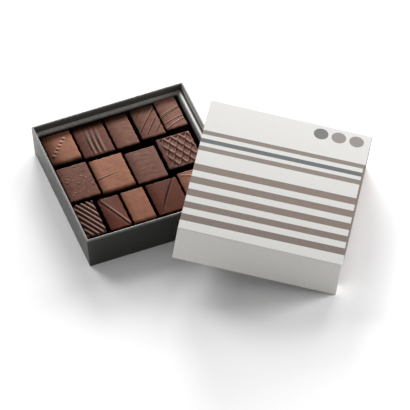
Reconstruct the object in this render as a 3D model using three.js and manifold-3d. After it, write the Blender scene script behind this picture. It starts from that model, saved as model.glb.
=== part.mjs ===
// A flat gift box of chocolate pralines: an open card base with a thin inner tray, fourteen
// pralines in three rows, and the lift-off lid leaning on the base's front right corner.
// Millimetres, +Z up. X runs along the width of the base and Y from its front to its back.
import * as THREE from 'three';
import { mergeVertices } from 'three/addons/utils/BufferGeometryUtils.js';
import Module from 'manifold-3d';

const wasm = await Module();
wasm.setup();

// Base, a tray of stiff board
const BASE_W = 130;
const BASE_D = 143;
const BASE_H = 28.5;
const BOARD = 1.5;
const BOARD_EDGE = 0.35;
const BOARD_CORNER = 0.8;
const GAP = 0.3;

// Lid, a telescoping cover that slides over the base
const LID_PLAY = 0.3;
const LID_BOARD = 1.4;
const LID_W = BASE_W + 2 * (LID_BOARD + LID_PLAY);
const LID_D = BASE_D + 2 * (LID_BOARD + LID_PLAY);
const LID_H = 35;
const LID_CENTRE = new THREE.Vector2(84.1, -85.6);
const LID_YAW = THREE.MathUtils.degToRad(-29.6);
const LID_LEAN = THREE.MathUtils.degToRad(12.65);

// Inner tray of thin card: a rolled lip round the pralines and a floor held up by a skirt
const CARD = 0.5;
const LIP_Z = 23.5;
const LIP_THICK = 3;
const LIP = { left: 1.3, right: 4.2, front: 4.2, back: 3.75 };
const TRAY_PLAY = { left: GAP, right: 1.1, front: 0.35, back: 0.35 };
const TRAY_CORNER = 1.2;
const FLOOR_Z = 9.4;

// Pralines
const FOOT_Z = FLOOR_Z + GAP;
const ROW_LEFT = -61.6;
const EDGE_ROUND = 1.8;
const CORNER_ROUND = 1.6;
const DRAFT = 0.5;
const CROWN = 0.35;
const CORNER_STEPS = 3;
const TONES = { milk: '#9a6a50', brown: '#7b5547', dark: '#684238' };

// Turns a list of rings, each with the same number of points, into one closed body. A ring
// runs counter-clockwise for someone who looks back from the last ring to the first.
function loft(rings) {
  const n = rings[0].length;
  const positions = rings.flat().flatMap((p) => [p.x, p.y, p.z]);
  const index = [];
  for (let a = 0; a < n * (rings.length - 1); a += n) {
    for (let i = 0; i < n; i++) {
      const j = (i + 1) % n;
      index.push(a + i, a + j, a + n + j, a + i, a + n + j, a + n + i);
    }
  }
  const addCap = (ring, first, flip) => {
    const centre = positions.length / 3;
    const middle = ring.reduce((sum, p) => sum.add(p), new THREE.Vector3()).divideScalar(n);
    positions.push(middle.x, middle.y, middle.z);
    for (let i = 0; i < n; i++) {
      const j = (i + 1) % n;
      index.push(centre, first + (flip ? j : i), first + (flip ? i : j));
    }
  };
  addCap(rings[0], 0, true);
  addCap(rings.at(-1), (rings.length - 1) * n, false);
  const geometry = new THREE.BufferGeometry();
  geometry.setAttribute('position', new THREE.Float32BufferAttribute(positions, 3));
  geometry.setIndex(index);
  return geometry;
}

// A level rectangle with rounded corners
function ring({ left, right, front, back }, z, radius) {
  const corners = [[right - radius, back - radius], [left + radius, back - radius],
    [left + radius, front + radius], [right - radius, front + radius]];
  const points = [];
  corners.forEach(([x, y], quarter) => {
    for (let i = 0; i <= CORNER_STEPS; i++) {
      const angle = (quarter + i / CORNER_STEPS) * Math.PI / 2;
      points.push(new THREE.Vector3(x + radius * Math.cos(angle), y + radius * Math.sin(angle), z));
    }
  });
  return points;
}

const centred = (w, d) => ({ left: -w / 2, right: w / 2, front: -d / 2, back: d / 2 });

// Draws a rectangle in by one amount, or by one for each side
function inset(rect, by) {
  const d = typeof by === 'number' ? { left: by, right: by, front: by, back: by } : by;
  return {
    left: rect.left + d.left,
    right: rect.right - d.right,
    front: rect.front + d.front,
    back: rect.back - d.back,
  };
}

function toSolid(geometry) {
  geometry.deleteAttribute('normal');
  geometry.deleteAttribute('uv');
  const merged = mergeVertices(geometry);
  return new wasm.Manifold(new wasm.Mesh({
    numProp: 3,
    vertProperties: Float32Array.from(merged.getAttribute('position').array),
    triVerts: Uint32Array.from(merged.index.array),
  }));
}

function toGeometry(solid) {
  const { vertProperties, triVerts } = solid.getMesh();
  const geometry = new THREE.BufferGeometry();
  geometry.setAttribute('position', new THREE.BufferAttribute(vertProperties, 3));
  geometry.setIndex(new THREE.BufferAttribute(triVerts, 1));
  return geometry;
}

const allOf = (solids) => solids.reduce((sum, solid) => sum.add(solid));

// An open card box: up the outside, over the rim and down the inside to its floor
function cardBox(w, d, h, board) {
  const outer = centred(w, d);
  const inner = BOARD_CORNER / 2;
  return loft([
    ring(inset(outer, BOARD_EDGE), 0, BOARD_CORNER),
    ring(outer, BOARD_EDGE, BOARD_CORNER),
    ring(outer, h - BOARD_EDGE, BOARD_CORNER),
    ring(inset(outer, BOARD_EDGE), h, BOARD_CORNER),
    ring(inset(outer, board - BOARD_EDGE), h, inner),
    ring(inset(outer, board), h - BOARD_EDGE, inner),
    ring(inset(outer, board), board, inner),
  ]);
}

// The inner tray's section runs from under its floor, up between wall and skirt, round the
// skirt's foot, over the rolled lip and down to the top of the floor
function innerTray() {
  const outer = inset(inset(centred(BASE_W, BASE_D), BOARD), TRAY_PLAY);
  const across = (share, extra = 0) => {
    const by = {};
    for (const side in LIP) by[side] = LIP[side] * share + extra;
    return inset(outer, by);
  };
  const foot = BOARD + GAP;
  const lip = [[0, 1.3], [0.08, 0.4], [0.28, 0], [0.52, 0.2], [0.78, 0.75], [0.94, 1.4], [1, 2.2]];
  return loft([
    ring(across(1, -CARD), FLOOR_Z - CARD, TRAY_CORNER),
    ring(across(1, -CARD), LIP_Z - LIP_THICK, TRAY_CORNER),
    ring(across(0, CARD), LIP_Z - LIP_THICK, TRAY_CORNER),
    ring(across(0, CARD), foot, TRAY_CORNER),
    ring(outer, foot, TRAY_CORNER),
    ...lip.map(([share, drop]) => ring(across(share), LIP_Z - drop, TRAY_CORNER)),
    ring(across(1), FLOOR_Z, TRAY_CORNER),
  ]);
}

// A praline's body: drafted sides, rounded top edges and a slightly crowned top
function body({ w, l, h }) {
  const plan = centred(w, l);
  const rings = [ring(plan, 0, CORNER_ROUND), ring(inset(plan, DRAFT / 3), h * 0.3, CORNER_ROUND)];
  const steps = 3;
  for (let i = 0; i <= steps; i++) {
    const angle = (i / steps) * Math.PI / 2;
    const by = DRAFT + EDGE_ROUND * (1 - Math.cos(angle));
    rings.push(ring(inset(plan, by), h - CROWN - EDGE_ROUND * (1 - Math.sin(angle)), CORNER_ROUND));
  }
  rings.push(ring(inset(plan, DRAFT + EDGE_ROUND + w / 5), h, CORNER_ROUND));
  return toSolid(loft(rings));
}

// A bar along a path. Its section is a list of [across, up] points, clockwise when across
// is drawn to the right; across points to the right of the way the path goes.
function bar(path, section) {
  return toSolid(loft(path.map((p, i) => {
    const from = path[Math.max(i - 1, 0)];
    const to = path[Math.min(i + 1, path.length - 1)];
    const along = new THREE.Vector2(to[0] - from[0], to[1] - from[1]).normalize();
    return section.map(([across, up]) => new THREE.Vector3(
      p[0] + along.y * across, p[1] - along.x * across, p[2] + up));
  })));
}

const grooveSection = (width, depth) => [[width / 2, 1], [0, -depth], [-width / 2, 1]];

function ridgeSection(width, height) {
  const points = [[width / 2, -1], [-width / 2, -1]];
  const steps = 4;
  for (let i = 0; i <= steps; i++) {
    const angle = Math.PI * (1 - i / steps);
    points.push([width / 2 * Math.cos(angle), height * Math.sin(angle)]);
  }
  return points;
}

// A straight path at height z that heads along an angle in degrees through (x, y)
function line(x, y, heading, reach, z) {
  const dx = reach * Math.cos(THREE.MathUtils.degToRad(heading));
  const dy = reach * Math.sin(THREE.MathUtils.degToRad(heading));
  return [[x - dx, y - dy, z], [x + dx, y + dy, z]];
}

const plain = (p) => body(p);

// Five beads in a slanting row
function beaded(p) {
  const radius = 1.5;
  const flatness = 0.8;
  const first = [-7.6, -5.2];
  const step = [3.3, 4.1];
  const beads = [];
  for (let i = 0; i < 5; i++) {
    const bead = new THREE.SphereGeometry(radius, 8, 6);
    bead.rotateX(Math.PI / 2);
    bead.scale(1, 1, flatness);
    bead.translate(first[0] + step[0] * i, first[1] + step[1] * i, p.h - CROWN);
    beads.push(toSolid(bead));
  }
  return body(p).add(allOf(beads));
}

// Three soft ridges that run lengthwise and sink into the top towards the back
function ribbed(p) {
  const top = p.h - CROWN;
  const sink = 0.9;
  const front = -p.l / 2 + 2.2;
  const ribs = [-3.5, 0.9, 5.4].map((x) => bar([
    [x + 0.4, front, top - sink],
    [x + 0.1, front + 1.8, top],
    [x - 0.4, 0, top],
    [x, p.l / 4, top - sink],
  ], ridgeSection(3, 0.8)));
  return body(p).add(allOf(ribs));
}

// Fine slanting score lines, each given by its middle and half its length
function scored(p) {
  const heading = 52.5;
  const marks = [[1.9, 2.7, 12], [3, -6.2, 7], [7.2, -11.3, 4], [-3, 10.6, 6], [-6.3, 9.8, 5]];
  const cuts = marks.map(([x, y, reach]) => (
    bar(line(x, y, heading, reach, p.h), grooveSection(1.8, 0.6))));
  return body(p).subtract(allOf(cuts));
}

// Thin raised threads drawn across in shallow curves, each given by its start and its rise
function threaded(p) {
  const reach = 0.8 * p.w;
  const steps = 4;
  const rises = [[-1.7, 4.3], [-4.6, 4.6], [-12.6, 4.6], [-18, 6.2]];
  const threads = rises.map(([y, rise]) => {
    const path = [];
    for (let i = 0; i <= steps; i++) {
      const t = i / steps;
      path.push([reach * (t - 0.5), y + rise * Math.sin(t * Math.PI / 2), p.h - CROWN]);
    }
    return bar(path, ridgeSection(1.2, 0.7));
  });
  return body(p).add(allOf(threads));
}

// A fraction between 0 and 1 for step i, spread evenly: the digits of i in a base, mirrored
function spread(i, base) {
  let share = 0;
  for (let place = 1 / base, rest = i; rest > 0; place /= base, rest = Math.floor(rest / base)) {
    share += place * (rest % base);
  }
  return share;
}

// Coarse grains scattered over the top
function grained(p) {
  const field = { w: p.w - 6, l: p.l - 7 };
  const smallest = 0.75;
  const largest = 1.25;
  const grains = [];
  for (let i = 1; i <= 14; i++) {
    const size = smallest + (largest - smallest) * spread(i, 5);
    const grain = new THREE.OctahedronGeometry(size);
    grain.rotateZ(i);
    grain.translate(field.w * (spread(i, 2) - 0.5), field.l * (spread(i, 3) - 0.5), p.h - CROWN / 2);
    grains.push(toSolid(grain));
  }
  return body(p).add(allOf(grains));
}

// One shallow crease across the top that runs out before the right edge
function creased(p) {
  const path = [[-13.6, -6.6, p.h - CROWN], [-8, -5.3, p.h], [-2, -4.7, p.h], [4, -4.5, p.h + 0.5]];
  return body(p).subtract(bar(path, grooveSection(2, 0.6)));
}

// A moulded lattice: sunk diamonds with thin raised bars between them
function latticed(p) {
  const pitch = [7, 6.5];
  const first = [1.9, 4.5];
  const depth = 1.4;
  const diamond = (x, y, size, z) => [0, 1, 2, 3].map((k) => new THREE.Vector3(
    x + pitch[0] / 2 * size * Math.cos(k * Math.PI / 2),
    y + pitch[1] * size * Math.sin(k * Math.PI / 2),
    z,
  ));
  const cells = [];
  for (let row = -3; row <= 2; row++) {
    for (let column = -3; column <= 2; column++) {
      const x = first[0] + pitch[0] * (column + Math.abs(row % 2) / 2);
      const y = first[1] + pitch[1] * row;
      cells.push(toSolid(loft([diamond(x, y, 0.5, p.h - depth), diamond(x, y, 0.97, p.h + 0.3)])));
    }
  }
  const field = inset(centred(p.w, p.l), { left: 3.4, right: 1.8, front: 1.8, back: 1.2 });
  const window = toSolid(loft([ring(field, p.h - 3, 1), ring(field, p.h + 2, 1)]));
  return body(p).subtract(allOf(cells).intersect(window));
}

// Deep slanting ridges, side by side
function corrugated(p) {
  const heading = -61.7;
  const pitch = 4.5;
  const depth = 1.7;
  const cuts = [];
  for (let i = -4; i <= 4; i++) {
    cuts.push(bar(line(pitch * i, 0, heading, p.l, p.h), grooveSection(pitch + 0.5, depth)));
  }
  return body(p).subtract(allOf(cuts));
}

// A fold from the back left to the front right, with the top raised on its right side
function folded(p) {
  const heading = -66.7;
  const rise = 0.9;
  const far = 2 * p.l;
  const beside = bar(line(0.4, 0.2, heading, far, 0), [[0, -1], [-far, -1], [-far, far], [0, far]]);
  const raised = body({ ...p, h: p.h + rise });
  return body({ ...p, h: p.h - rise / 3 }).add(raised.intersect(beside));
}

// One slanting groove
function grooved(p) {
  const heading = 61.2;
  return body(p).subtract(bar(line(-1.2, -0.8, heading, p.l / 2, p.h), grooveSection(3, 0.9)));
}

// Two curved threads that cross the top
function swirled(p) {
  const reach = [0.36 * p.w, 0.8 * p.l];
  const steps = 6;
  const threads = [1, -1].map((side) => {
    const path = [];
    for (let i = 0; i <= steps; i++) {
      const t = i / steps;
      path.push([side * reach[0] * Math.cos(t * Math.PI), reach[1] * (0.5 - t), p.h - CROWN]);
    }
    return bar(path, ridgeSection(1.6, 0.8));
  });
  return body(p).add(allOf(threads));
}

// The pralines of each row from left to right, the back row first. gap is the space before
// a praline, front the place of its front face; w, l and h are its width, length and height.
const ROWS = [
  [
    { name: 'beaded', tone: 'milk', shape: beaded, gap: 0, w: 25.1, front: 27, l: 35, h: 12.8 },
    { name: 'ribbed', tone: 'dark', shape: ribbed, gap: 1.6, w: 26.2, front: 25, l: 38, h: 12.6 },
    { name: 'plain_brown', tone: 'brown', shape: plain, gap: 1.6, w: 19.5, front: 25.4, l: 37.6, h: 12.7 },
    { name: 'scored', tone: 'brown', shape: scored, gap: 2.8, w: 20.2, front: 27.3, l: 36.2, h: 12.9 },
    { name: 'threaded', tone: 'brown', shape: threaded, gap: 1.2, w: 18.2, front: 30, l: 35.5, h: 12.8 },
  ],
  [
    { name: 'grained', tone: 'brown', shape: grained, gap: 0, w: 25.9, front: -18.9, l: 40.5, h: 12.8 },
    { name: 'creased', tone: 'milk', shape: creased, gap: 1.8, w: 28, front: -19.5, l: 40.1, h: 13 },
    { name: 'smooth', tone: 'brown', shape: plain, gap: 1.7, w: 25.7, front: -20.2, l: 38, h: 12.7 },
    { name: 'latticed', tone: 'brown', shape: latticed, gap: 2.6, w: 28.9, front: -15, l: 37.2, h: 13.1 },
  ],
  [
    { name: 'corrugated', tone: 'dark', shape: corrugated, gap: 0, w: 17, front: -60.8, l: 38.6, h: 13.3 },
    { name: 'folded', tone: 'dark', shape: folded, gap: 2.8, w: 18.1, front: -62.2, l: 37.5, h: 12.5 },
    { name: 'plain_milk', tone: 'milk', shape: plain, gap: 1.9, w: 19.1, front: -62.2, l: 38.5, h: 12.9 },
    { name: 'grooved', tone: 'dark', shape: grooved, gap: 2.2, w: 26.5, front: -61.3, l: 37.6, h: 12.7 },
    { name: 'swirled', tone: 'milk', shape: swirled, gap: 1.2, w: 25.2, front: -60.5, l: 38.8, h: 12.8 },
  ],
];

function mesh(name, geometry, colour, roughness) {
  const material = new THREE.MeshStandardMaterial({ color: colour, roughness, metalness: 0 });
  const made = new THREE.Mesh(geometry, material);
  made.name = name;
  return made;
}

function pralines() {
  const made = [];
  for (const row of ROWS) {
    let left = ROW_LEFT;
    for (const p of row) {
      left += p.gap;
      const piece = mesh(`praline_${p.name}`, toGeometry(p.shape(p)), TONES[p.tone], 0.45);
      piece.position.set(left + p.w / 2, p.front + p.l / 2, FOOT_Z);
      made.push(piece);
      left += p.w;
    }
  }
  return made;
}

// The lid lies with its hollow down, its right edge on the table and its left side raised
function lid() {
  const cover = cardBox(LID_W, LID_D, LID_H, LID_BOARD);
  cover.rotateX(Math.PI);
  cover.translate(0, 0, LID_H);
  const made = mesh('lid', cover, '#e6e4de', 0.6);
  made.rotation.set(0, LID_LEAN, LID_YAW, 'ZYX');
  made.position.set(LID_CENTRE.x, LID_CENTRE.y, Math.sin(LID_LEAN) * LID_W / 2);
  return made;
}

// The origin is the middle of the whole object's outline on the table
const arrangement = new THREE.Group();
arrangement.add(mesh('base_tray', cardBox(BASE_W, BASE_D, BASE_H, BOARD), '#3c3d39', 0.55));
arrangement.add(mesh('inner_tray', innerTray(), '#57534f', 0.4));
arrangement.add(...pralines());
arrangement.add(lid());
const bounds = new THREE.Box3().setFromObject(arrangement, true);
const middle = bounds.getCenter(new THREE.Vector3());
arrangement.position.set(-middle.x, -middle.y, -bounds.min.z);

const part = new THREE.Group();
part.add(arrangement);
export default part;
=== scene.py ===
"""A square gift box of chocolate pralines with its striped lid leaning on one corner.

Fourteen pralines lie in three rows in a card tray inside an anthracite base. Each is a fine
block whose top is raised or sunk along its own marks, such as beads, ribs, score lines,
threads, a lattice or a fold. Sizes are in millimetres and become metres as a mesh is made.
"""

import math
import random
from dataclasses import dataclass
from typing import Callable

import bpy
import numpy as np
from mathutils import Matrix, Vector


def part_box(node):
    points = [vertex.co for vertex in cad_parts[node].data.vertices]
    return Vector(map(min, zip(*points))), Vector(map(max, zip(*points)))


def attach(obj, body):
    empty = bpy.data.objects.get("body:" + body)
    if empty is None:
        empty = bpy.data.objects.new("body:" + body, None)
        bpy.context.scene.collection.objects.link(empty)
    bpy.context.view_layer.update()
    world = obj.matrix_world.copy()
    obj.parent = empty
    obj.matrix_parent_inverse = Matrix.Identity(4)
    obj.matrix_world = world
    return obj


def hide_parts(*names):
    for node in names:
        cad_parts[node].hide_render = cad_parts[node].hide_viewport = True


bl_info = {
    "name": "Box of chocolate pralines",
    "version": (1, 0, 0),
    "blender": (4, 5, 0),
    "location": "View3D > Sidebar > Pralines",
    "description": "Builds a gift box of pralines, its leaning lid and the stage round them",
    "category": "Add Mesh",
}

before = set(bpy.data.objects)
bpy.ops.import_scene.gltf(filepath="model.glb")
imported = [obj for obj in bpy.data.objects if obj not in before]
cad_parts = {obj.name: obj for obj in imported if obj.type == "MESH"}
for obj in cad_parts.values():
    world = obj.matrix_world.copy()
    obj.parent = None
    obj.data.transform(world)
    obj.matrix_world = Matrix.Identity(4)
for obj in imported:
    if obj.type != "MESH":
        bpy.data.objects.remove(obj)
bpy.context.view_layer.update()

MM = 0.001


def node_box(name):
    """The lowest and highest corner of a node, in millimetres."""
    low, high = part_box(name)
    return np.array(low) / MM, np.array(high) / MM


BASE_LOW, BASE_HIGH = node_box("base_tray")
BASE_MIDDLE = (BASE_LOW + BASE_HIGH) / 2
BASE_WIDTH, BASE_DEPTH, BASE_HEIGHT = BASE_HIGH - BASE_LOW


def number(name, default, description, **options):
    return bpy.props.FloatProperty(
        name=name, default=float(default), description=description, **options)


def length(name, default_mm, description):
    """A length property whose default is given in millimetres."""
    return number(
        name, default_mm * MM, description, min=0.0, unit="LENGTH", subtype="DISTANCE", precision=4)


def colour(name, default, description):
    return bpy.props.FloatVectorProperty(
        name=name, description=description, default=default, size=3, min=0.0, max=1.0,
        subtype="COLOR",
    )


def angle(name, default_degrees, description):
    """An angle property whose default is given in degrees."""
    return number(
        name, math.radians(default_degrees), description, subtype="ANGLE", unit="ROTATION")


def power(name, default, description):
    return number(name, default, description, subtype="POWER", unit="POWER")


class PralineBoxCard(bpy.types.PropertyGroup):
    """The base, the tray inside it and their papers."""
    board: length("Board", 1.5, "Thickness of the base's board")
    rim_round: length("Rim rounding", 0.35, "Rounding of the board's edges")
    corner: length("Corner", 0.8, "Radius of the base's upright corners")
    paper: colour("Paper", (0.0195, 0.0205, 0.0175), "Anthracite paper over the base")
    liner: colour("Liner", (0.06, 0.062, 0.056), "Greyer paper inside the base")
    fleck: colour("Fleck", (0.1, 0.098, 0.09), "Pale flecks in the anthracite paper")
    # Painted light: the right wall's liner is paler, as if lit from the left
    right_liner_painted_light: colour("Right liner", (0.8, 0.79, 0.765), "Paler paper inside the right wall")
    # The rim turns paler in patches
    rim_pale: colour("Worn edge", (0.24, 0.232, 0.215), "Paper rubbed pale along the rim")
    tray_corner: length("Tray corner", 1.2, "Radius of the inner tray's corners")
    tray_card: length("Tray card", 0.5, "Thickness of the inner tray's card")
    lip_drop: length("Lip drop", 3.0, "Depth of the inner tray's rolled lip")
    floor_height: length("Floor height", 9.4, "Height of the inner tray's floor")
    card: colour("Card", (0.135, 0.122, 0.11), "Dark card of the inner tray's lip")
    # Painted shade: the card below the lip is near black
    deep_painted_shade: colour("Well", (0.006, 0.005, 0.004), "The inner tray below its lip")
    # Painted light on the right wall near the lip
    right_well_painted_light: colour("Right well", (0.34, 0.345, 0.33), "The inner tray's right wall near its lip")
    # Painted highlight on the crest of the tray's right lip
    glint: colour("Glint", (0.85, 0.84, 0.82), "The polished crest of the tray's right lip")


class PralineBoxChocolate(bpy.types.PropertyGroup):
    """The pralines' shared sizes."""
    grid: length("Grid", 0.32, "Distance between points on a praline's top")
    edge: length("Edge", 1.1, "Rounding of a praline's edges")
    draft: length("Draft", 0.12, "How far a praline's sides lean in from foot to top")
    crown: length("Crown", 0.3, "How far the middle of a top stands above its edges")
    wobble: length("Wobble", 0.22, "Unevenness of a praline's outline")
    ripple: length("Ripple", 0.05, "Height of the soft ripples in the coating")
    wave: length("Ripple width", 3.0, "Width of the soft ripples in the coating")


class PralineBoxLid(bpy.types.PropertyGroup):
    """The lid's sizes, its lean and its print."""
    width: length("Width", BASE_WIDTH + 3.4, "Width of the lid")
    depth: length("Depth", BASE_DEPTH + 3.4, "Depth of the lid")
    height: length("Height", 35.0, "Height of the lid")
    board: length("Board", 1.4, "Thickness of the lid's board")
    yaw: angle("Yaw", -29.6, "Turn of the lid about the upright")
    lean: angle("Lean", 12.65, "Rise of the lid's left side")
    skew: angle("Skew", 0.75, "How far the stripes are printed off square")
    white: colour("White", (0.5, 0.495, 0.48), "Warm white paper over the lid")
    # Painted light: the front and sides are paler than the top and back
    painted_lit_white: colour("Side white", (0.8, 0.775, 0.74), "Brighter paper on the lid's front and sides")
    taupe: colour("Taupe", (0.152, 0.12, 0.097), "Thin stripes")
    umber: colour("Umber", (0.13, 0.0915, 0.0705), "Broad stripes and the sides' fields")
    teal: colour("Teal", (0.059, 0.066, 0.068), "The middle thin stripe")
    grey: colour("Grey", (0.095, 0.095, 0.091), "The first dot")
    sand: colour("Sand", (0.182, 0.157, 0.144), "The other two dots")
    wrap: length("Wrap", 1.6, "How far the right side's field reaches onto the top")


class PralineBoxStage(bpy.types.PropertyGroup):
    """Floor, lights and camera."""
    floor: colour("Floor", (0.95, 0.95, 0.955), "Plain pale floor")
    focal: number(
        "Focal length", 642.8, "Camera lens on a 36 mm wide sensor",
        subtype="DISTANCE_CAMERA", unit="CAMERA")
    key: power("Key", 27.0, "Power of the low soft light behind the box")
    rear: power("Rear", 12.0, "Power of the soft light at the back left")
    slant: power("Slant", 8.5, "Power of the soft light at the back right")
    side: power("Side", 22.0, "Power of the low soft light on the right")
    sky: number("Sky", 0.38, "Strength of the even light from all round")


def settings(name):
    return getattr(bpy.context.scene, "praline_box_" + name)


# Node helpers

def connect(made, values):
    """Links a node's inputs to the sockets among values and sets the others as constants."""
    for name, value in values.items():
        if isinstance(value, bpy.types.NodeSocket):
            made.id_data.links.new(value, made.inputs[name])
        else:
            made.inputs[name].default_value = value


def node(tree, kind, values=(), **options):
    """Adds a node with its options, and connects its inputs to values."""
    made = tree.nodes.new(kind)
    for name, value in options.items():
        setattr(made, name, value)
    connect(made, dict(values))
    return made


def maths(operation, *values, clamp=False):
    """The result of a math node in the tree of the sockets among values."""
    tree = next(value.id_data for value in values if isinstance(value, bpy.types.NodeSocket))
    made = node(tree, "ShaderNodeMath", enumerate(values), operation=operation, use_clamp=clamp)
    return made.outputs[0]


def product(first, *others):
    """All values multiplied."""
    for value in others:
        first = maths("MULTIPLY", first, value)
    return first


def mixed(factor, *colours):
    """A colour between two."""
    first, second = (
        value if isinstance(value, bpy.types.NodeSocket) else (*value, 1.0) for value in colours)
    values = {0: factor, 6: first, 7: second}
    return node(factor.id_data, "ShaderNodeMix", values, data_type="RGBA").outputs[2]


def noise(place, cell_mm, detail=2.0, roughness=0.5):
    """Noise whose cells are about cell_mm across."""
    return node(place.id_data, "ShaderNodeTexNoise", {
        "Vector": place, "Scale": 1 / (cell_mm * MM), "Detail": detail, "Roughness": roughness,
    }).outputs["Fac"]


def remap(value, low, high, to_low=0.0, to_high=1.0):
    """value from low..high to to_low..to_high, held at both ends."""
    return node(value.id_data, "ShaderNodeMapRange", {
        "Value": value, "From Min": low, "From Max": high, "To Min": to_low, "To Max": to_high,
    }).outputs[0]


def clouds(to_low, to_high, *noise_values):
    """Soft clouds of noise between two values."""
    return remap(noise(*noise_values), 0.3, 0.7, to_low, to_high)


def new_material(name):
    """A material with a Principled surface, and its tree, shader and object coordinates."""
    material = bpy.data.materials.new(name)
    material.use_nodes = True
    tree = material.node_tree
    shader = tree.nodes["Principled BSDF"]
    place = node(tree, "ShaderNodeTexCoord").outputs["Object"]
    return material, tree, shader, place


def bump(shader, height, depth_mm, strength):
    """Lets height roughen a shader's surface."""
    made = node(shader.id_data, "ShaderNodeBump", {
        "Height": height, "Distance": depth_mm * MM, "Strength": strength,
    })
    connect(shader, {"Normal": made.outputs["Normal"]})


def attribute(tree, name, output="Fac"):
    """What the mesh keeps for each point under a name."""
    return node(tree, "ShaderNodeAttribute", attribute_name=name).outputs[output]


# Materials

# Depths below the inner tray's lip, in millimetres, between which its card turns into the painted
# shade of the dark well, and between which its right wall grows paler towards the lip as painted light
LIP_ENDS = (1.2, 3.5)
RIGHT_WALL = (9.0, 2.0)
# The colour of painted shade in a praline's hollows and grooves
PAINTED_SHADE = (0.004, 0.002, 0.001)


def toned(tone, factor, more=(0.0, 0.0, 0.0)):
    """A colour made paler or darker and shifted, at most 1."""
    return tuple(min(1.0, factor * c + shift) for c, shift in zip(tone, more))


def base_paper():
    """Anthracite paper: fine pale flecks, a soft grain and a rim that is paler in patches."""
    look = settings("card")
    material, tree, shader, place = new_material("anthracite_paper")
    fleck = remap(noise(place, 0.7, 3.0, 0.7), 0.52, 0.74)
    cloud = clouds(0.25, 0.6, place, 14.0)
    inside = attribute(tree, "inside")
    plain = mixed(remap(inside, 0.0, 1.0), look.paper, look.liner)
    # The right wall's liner turns paler here, as painted light
    plain = mixed(remap(inside, 1.0, 2.0), plain, look.right_liner_painted_light)
    paper = mixed(product(fleck, cloud), plain, look.fleck)
    # Noise patches along the rim turn paler
    rim_pale = remap(noise(place, 2.2, 3.0), 0.25, 0.6, 0.3, 0.7)
    paper = mixed(product(attribute(tree, "edge"), rim_pale), paper, look.rim_pale)
    connect(shader, {"Base Color": paper, "Roughness": clouds(0.33, 0.42, place, 5.0)})
    bump(shader, noise(place, 0.45, 3.0), 0.06, 0.6)
    return material


def tray_card():
    """Dark smooth card with a slight sheen, a faint lengthwise grain and painted light and shade."""
    look = settings("card")
    material, tree, shader, place = new_material("dark_card")
    stretched = node(tree, "ShaderNodeMapping", {"Vector": place, "Scale": (0.35, 1.0, 1.0)})
    grain = noise(stretched.outputs[0], 0.9, 3.0, 0.6)
    lip = mixed(remap(grain, 0.35, 0.7), look.card, toned(look.card, 1.7))
    # Painted highlight along the right lip's crest
    lip = mixed(attribute(tree, "glint"), lip, look.glint)
    height = node(tree, "ShaderNodeSeparateXYZ", {"Vector": place}).outputs["Z"]
    top = node_box("inner_tray")[1][2]

    def between(start, end):
        """0 at start and 1 at end, both in millimetres below the lip."""
        return remap(height, (top - start) * MM, (top - end) * MM)

    # Painted shade: deeper in the well the card turns near black and loses its sheen
    deep = between(*LIP_ENDS)
    # Painted light: the right wall grows paler towards the lip
    painted_light_share = product(attribute(tree, "right"), between(*RIGHT_WALL))
    connect(shader, {
        "Base Color": mixed(deep, lip, mixed(painted_light_share, look.deep_painted_shade, look.right_well_painted_light)),
        "Specular IOR Level": remap(deep, 0.0, 1.0, 0.5, 0.0),
        "Roughness": remap(grain, 0.3, 0.7, 0.3, 0.4),
    })
    bump(shader, grain, 0.04, 0.5)
    return material


def chocolate(name, tone):
    """Satin chocolate: mottled colour, a thin dull bloom, and painted highlights and shade."""
    material, tree, shader, place = new_material(name)
    mottle = clouds(0.0, 1.0, place, 3.5, 3.0, 0.6)
    body = mixed(mottle, toned(tone, 0.82), toned(tone, 1.14))
    bloom = remap(noise(place, 0.6, 4.0, 0.75), 0.5, 0.72, 0.0, 0.2)
    body = mixed(bloom, body, toned(tone, 0.6, (0.07, 0.048, 0.04)))
    # Above zero a painted highlight on crests, below zero painted shade in hollows and grooves
    tint = attribute(tree, "tint")
    body = mixed(remap(tint, 0.0, 1.0), body, toned(tone, 1.2, (0.36, 0.27, 0.23)))
    body = mixed(remap(tint, 0.0, -1.0), body, PAINTED_SHADE)
    # Painted shade darkens the sides, falls, left edge and back, and painted sheen brightens the right
    shade = attribute(tree, "shade")
    body = node(tree, "ShaderNodeVectorMath", {0: body, 1: shade}, operation="MULTIPLY")
    connect(shader, {
        "Base Color": body.outputs[0],
        "Roughness": clouds(0.32, 0.42, place, 1.6, 3.0),
        "Specular IOR Level": remap(shade, 0.3, 1.0, 0.0, 0.045),
    })
    bump(shader, noise(place, 0.5, 4.0, 0.6), 0.05, 0.7)
    return material


# The lid's print. Stripes and the wrap are in millimetres from the lid's back edge, and dots
# from its middle. The wrap starts, is at its widest and has narrowed at the three distances.

THIN_STRIPES = {"first": 33.35, "pitch": 9.0, "width": 4.9}
BROAD_STRIPES = {"first": 71.95, "pitch": 14.15, "width": 7.4, "count": 5}
DOTS = {"first": (25.8, 63.35), "pitch": 14.6, "radius": 5.95}
WRAP_START, WRAP_WIDEST, WRAP_NARROW = 35.0, 38.0, 137.0

# How far in from the lid's upright sides, and below its top, the papers meet
SIDE_SEAM = 0.4
TOP_SEAM = 0.12


def stripe_bands(look):
    """(start, end, colour) of every stripe from the back to the front."""
    thin_inks = (look.taupe, look.teal, look.taupe)
    # Painted shade: each broad stripe is darker than the one behind it
    broad_inks = [toned(look.umber, 1.12 - 0.06 * i) for i in range(BROAD_STRIPES["count"])]
    bands = []
    for stripes, inks in ((THIN_STRIPES, thin_inks), (BROAD_STRIPES, broad_inks)):
        for i, ink in enumerate(inks):
            start = stripes["first"] + stripes["pitch"] * i
            bands.append((start, start + stripes["width"], ink))
    return bands


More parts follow.
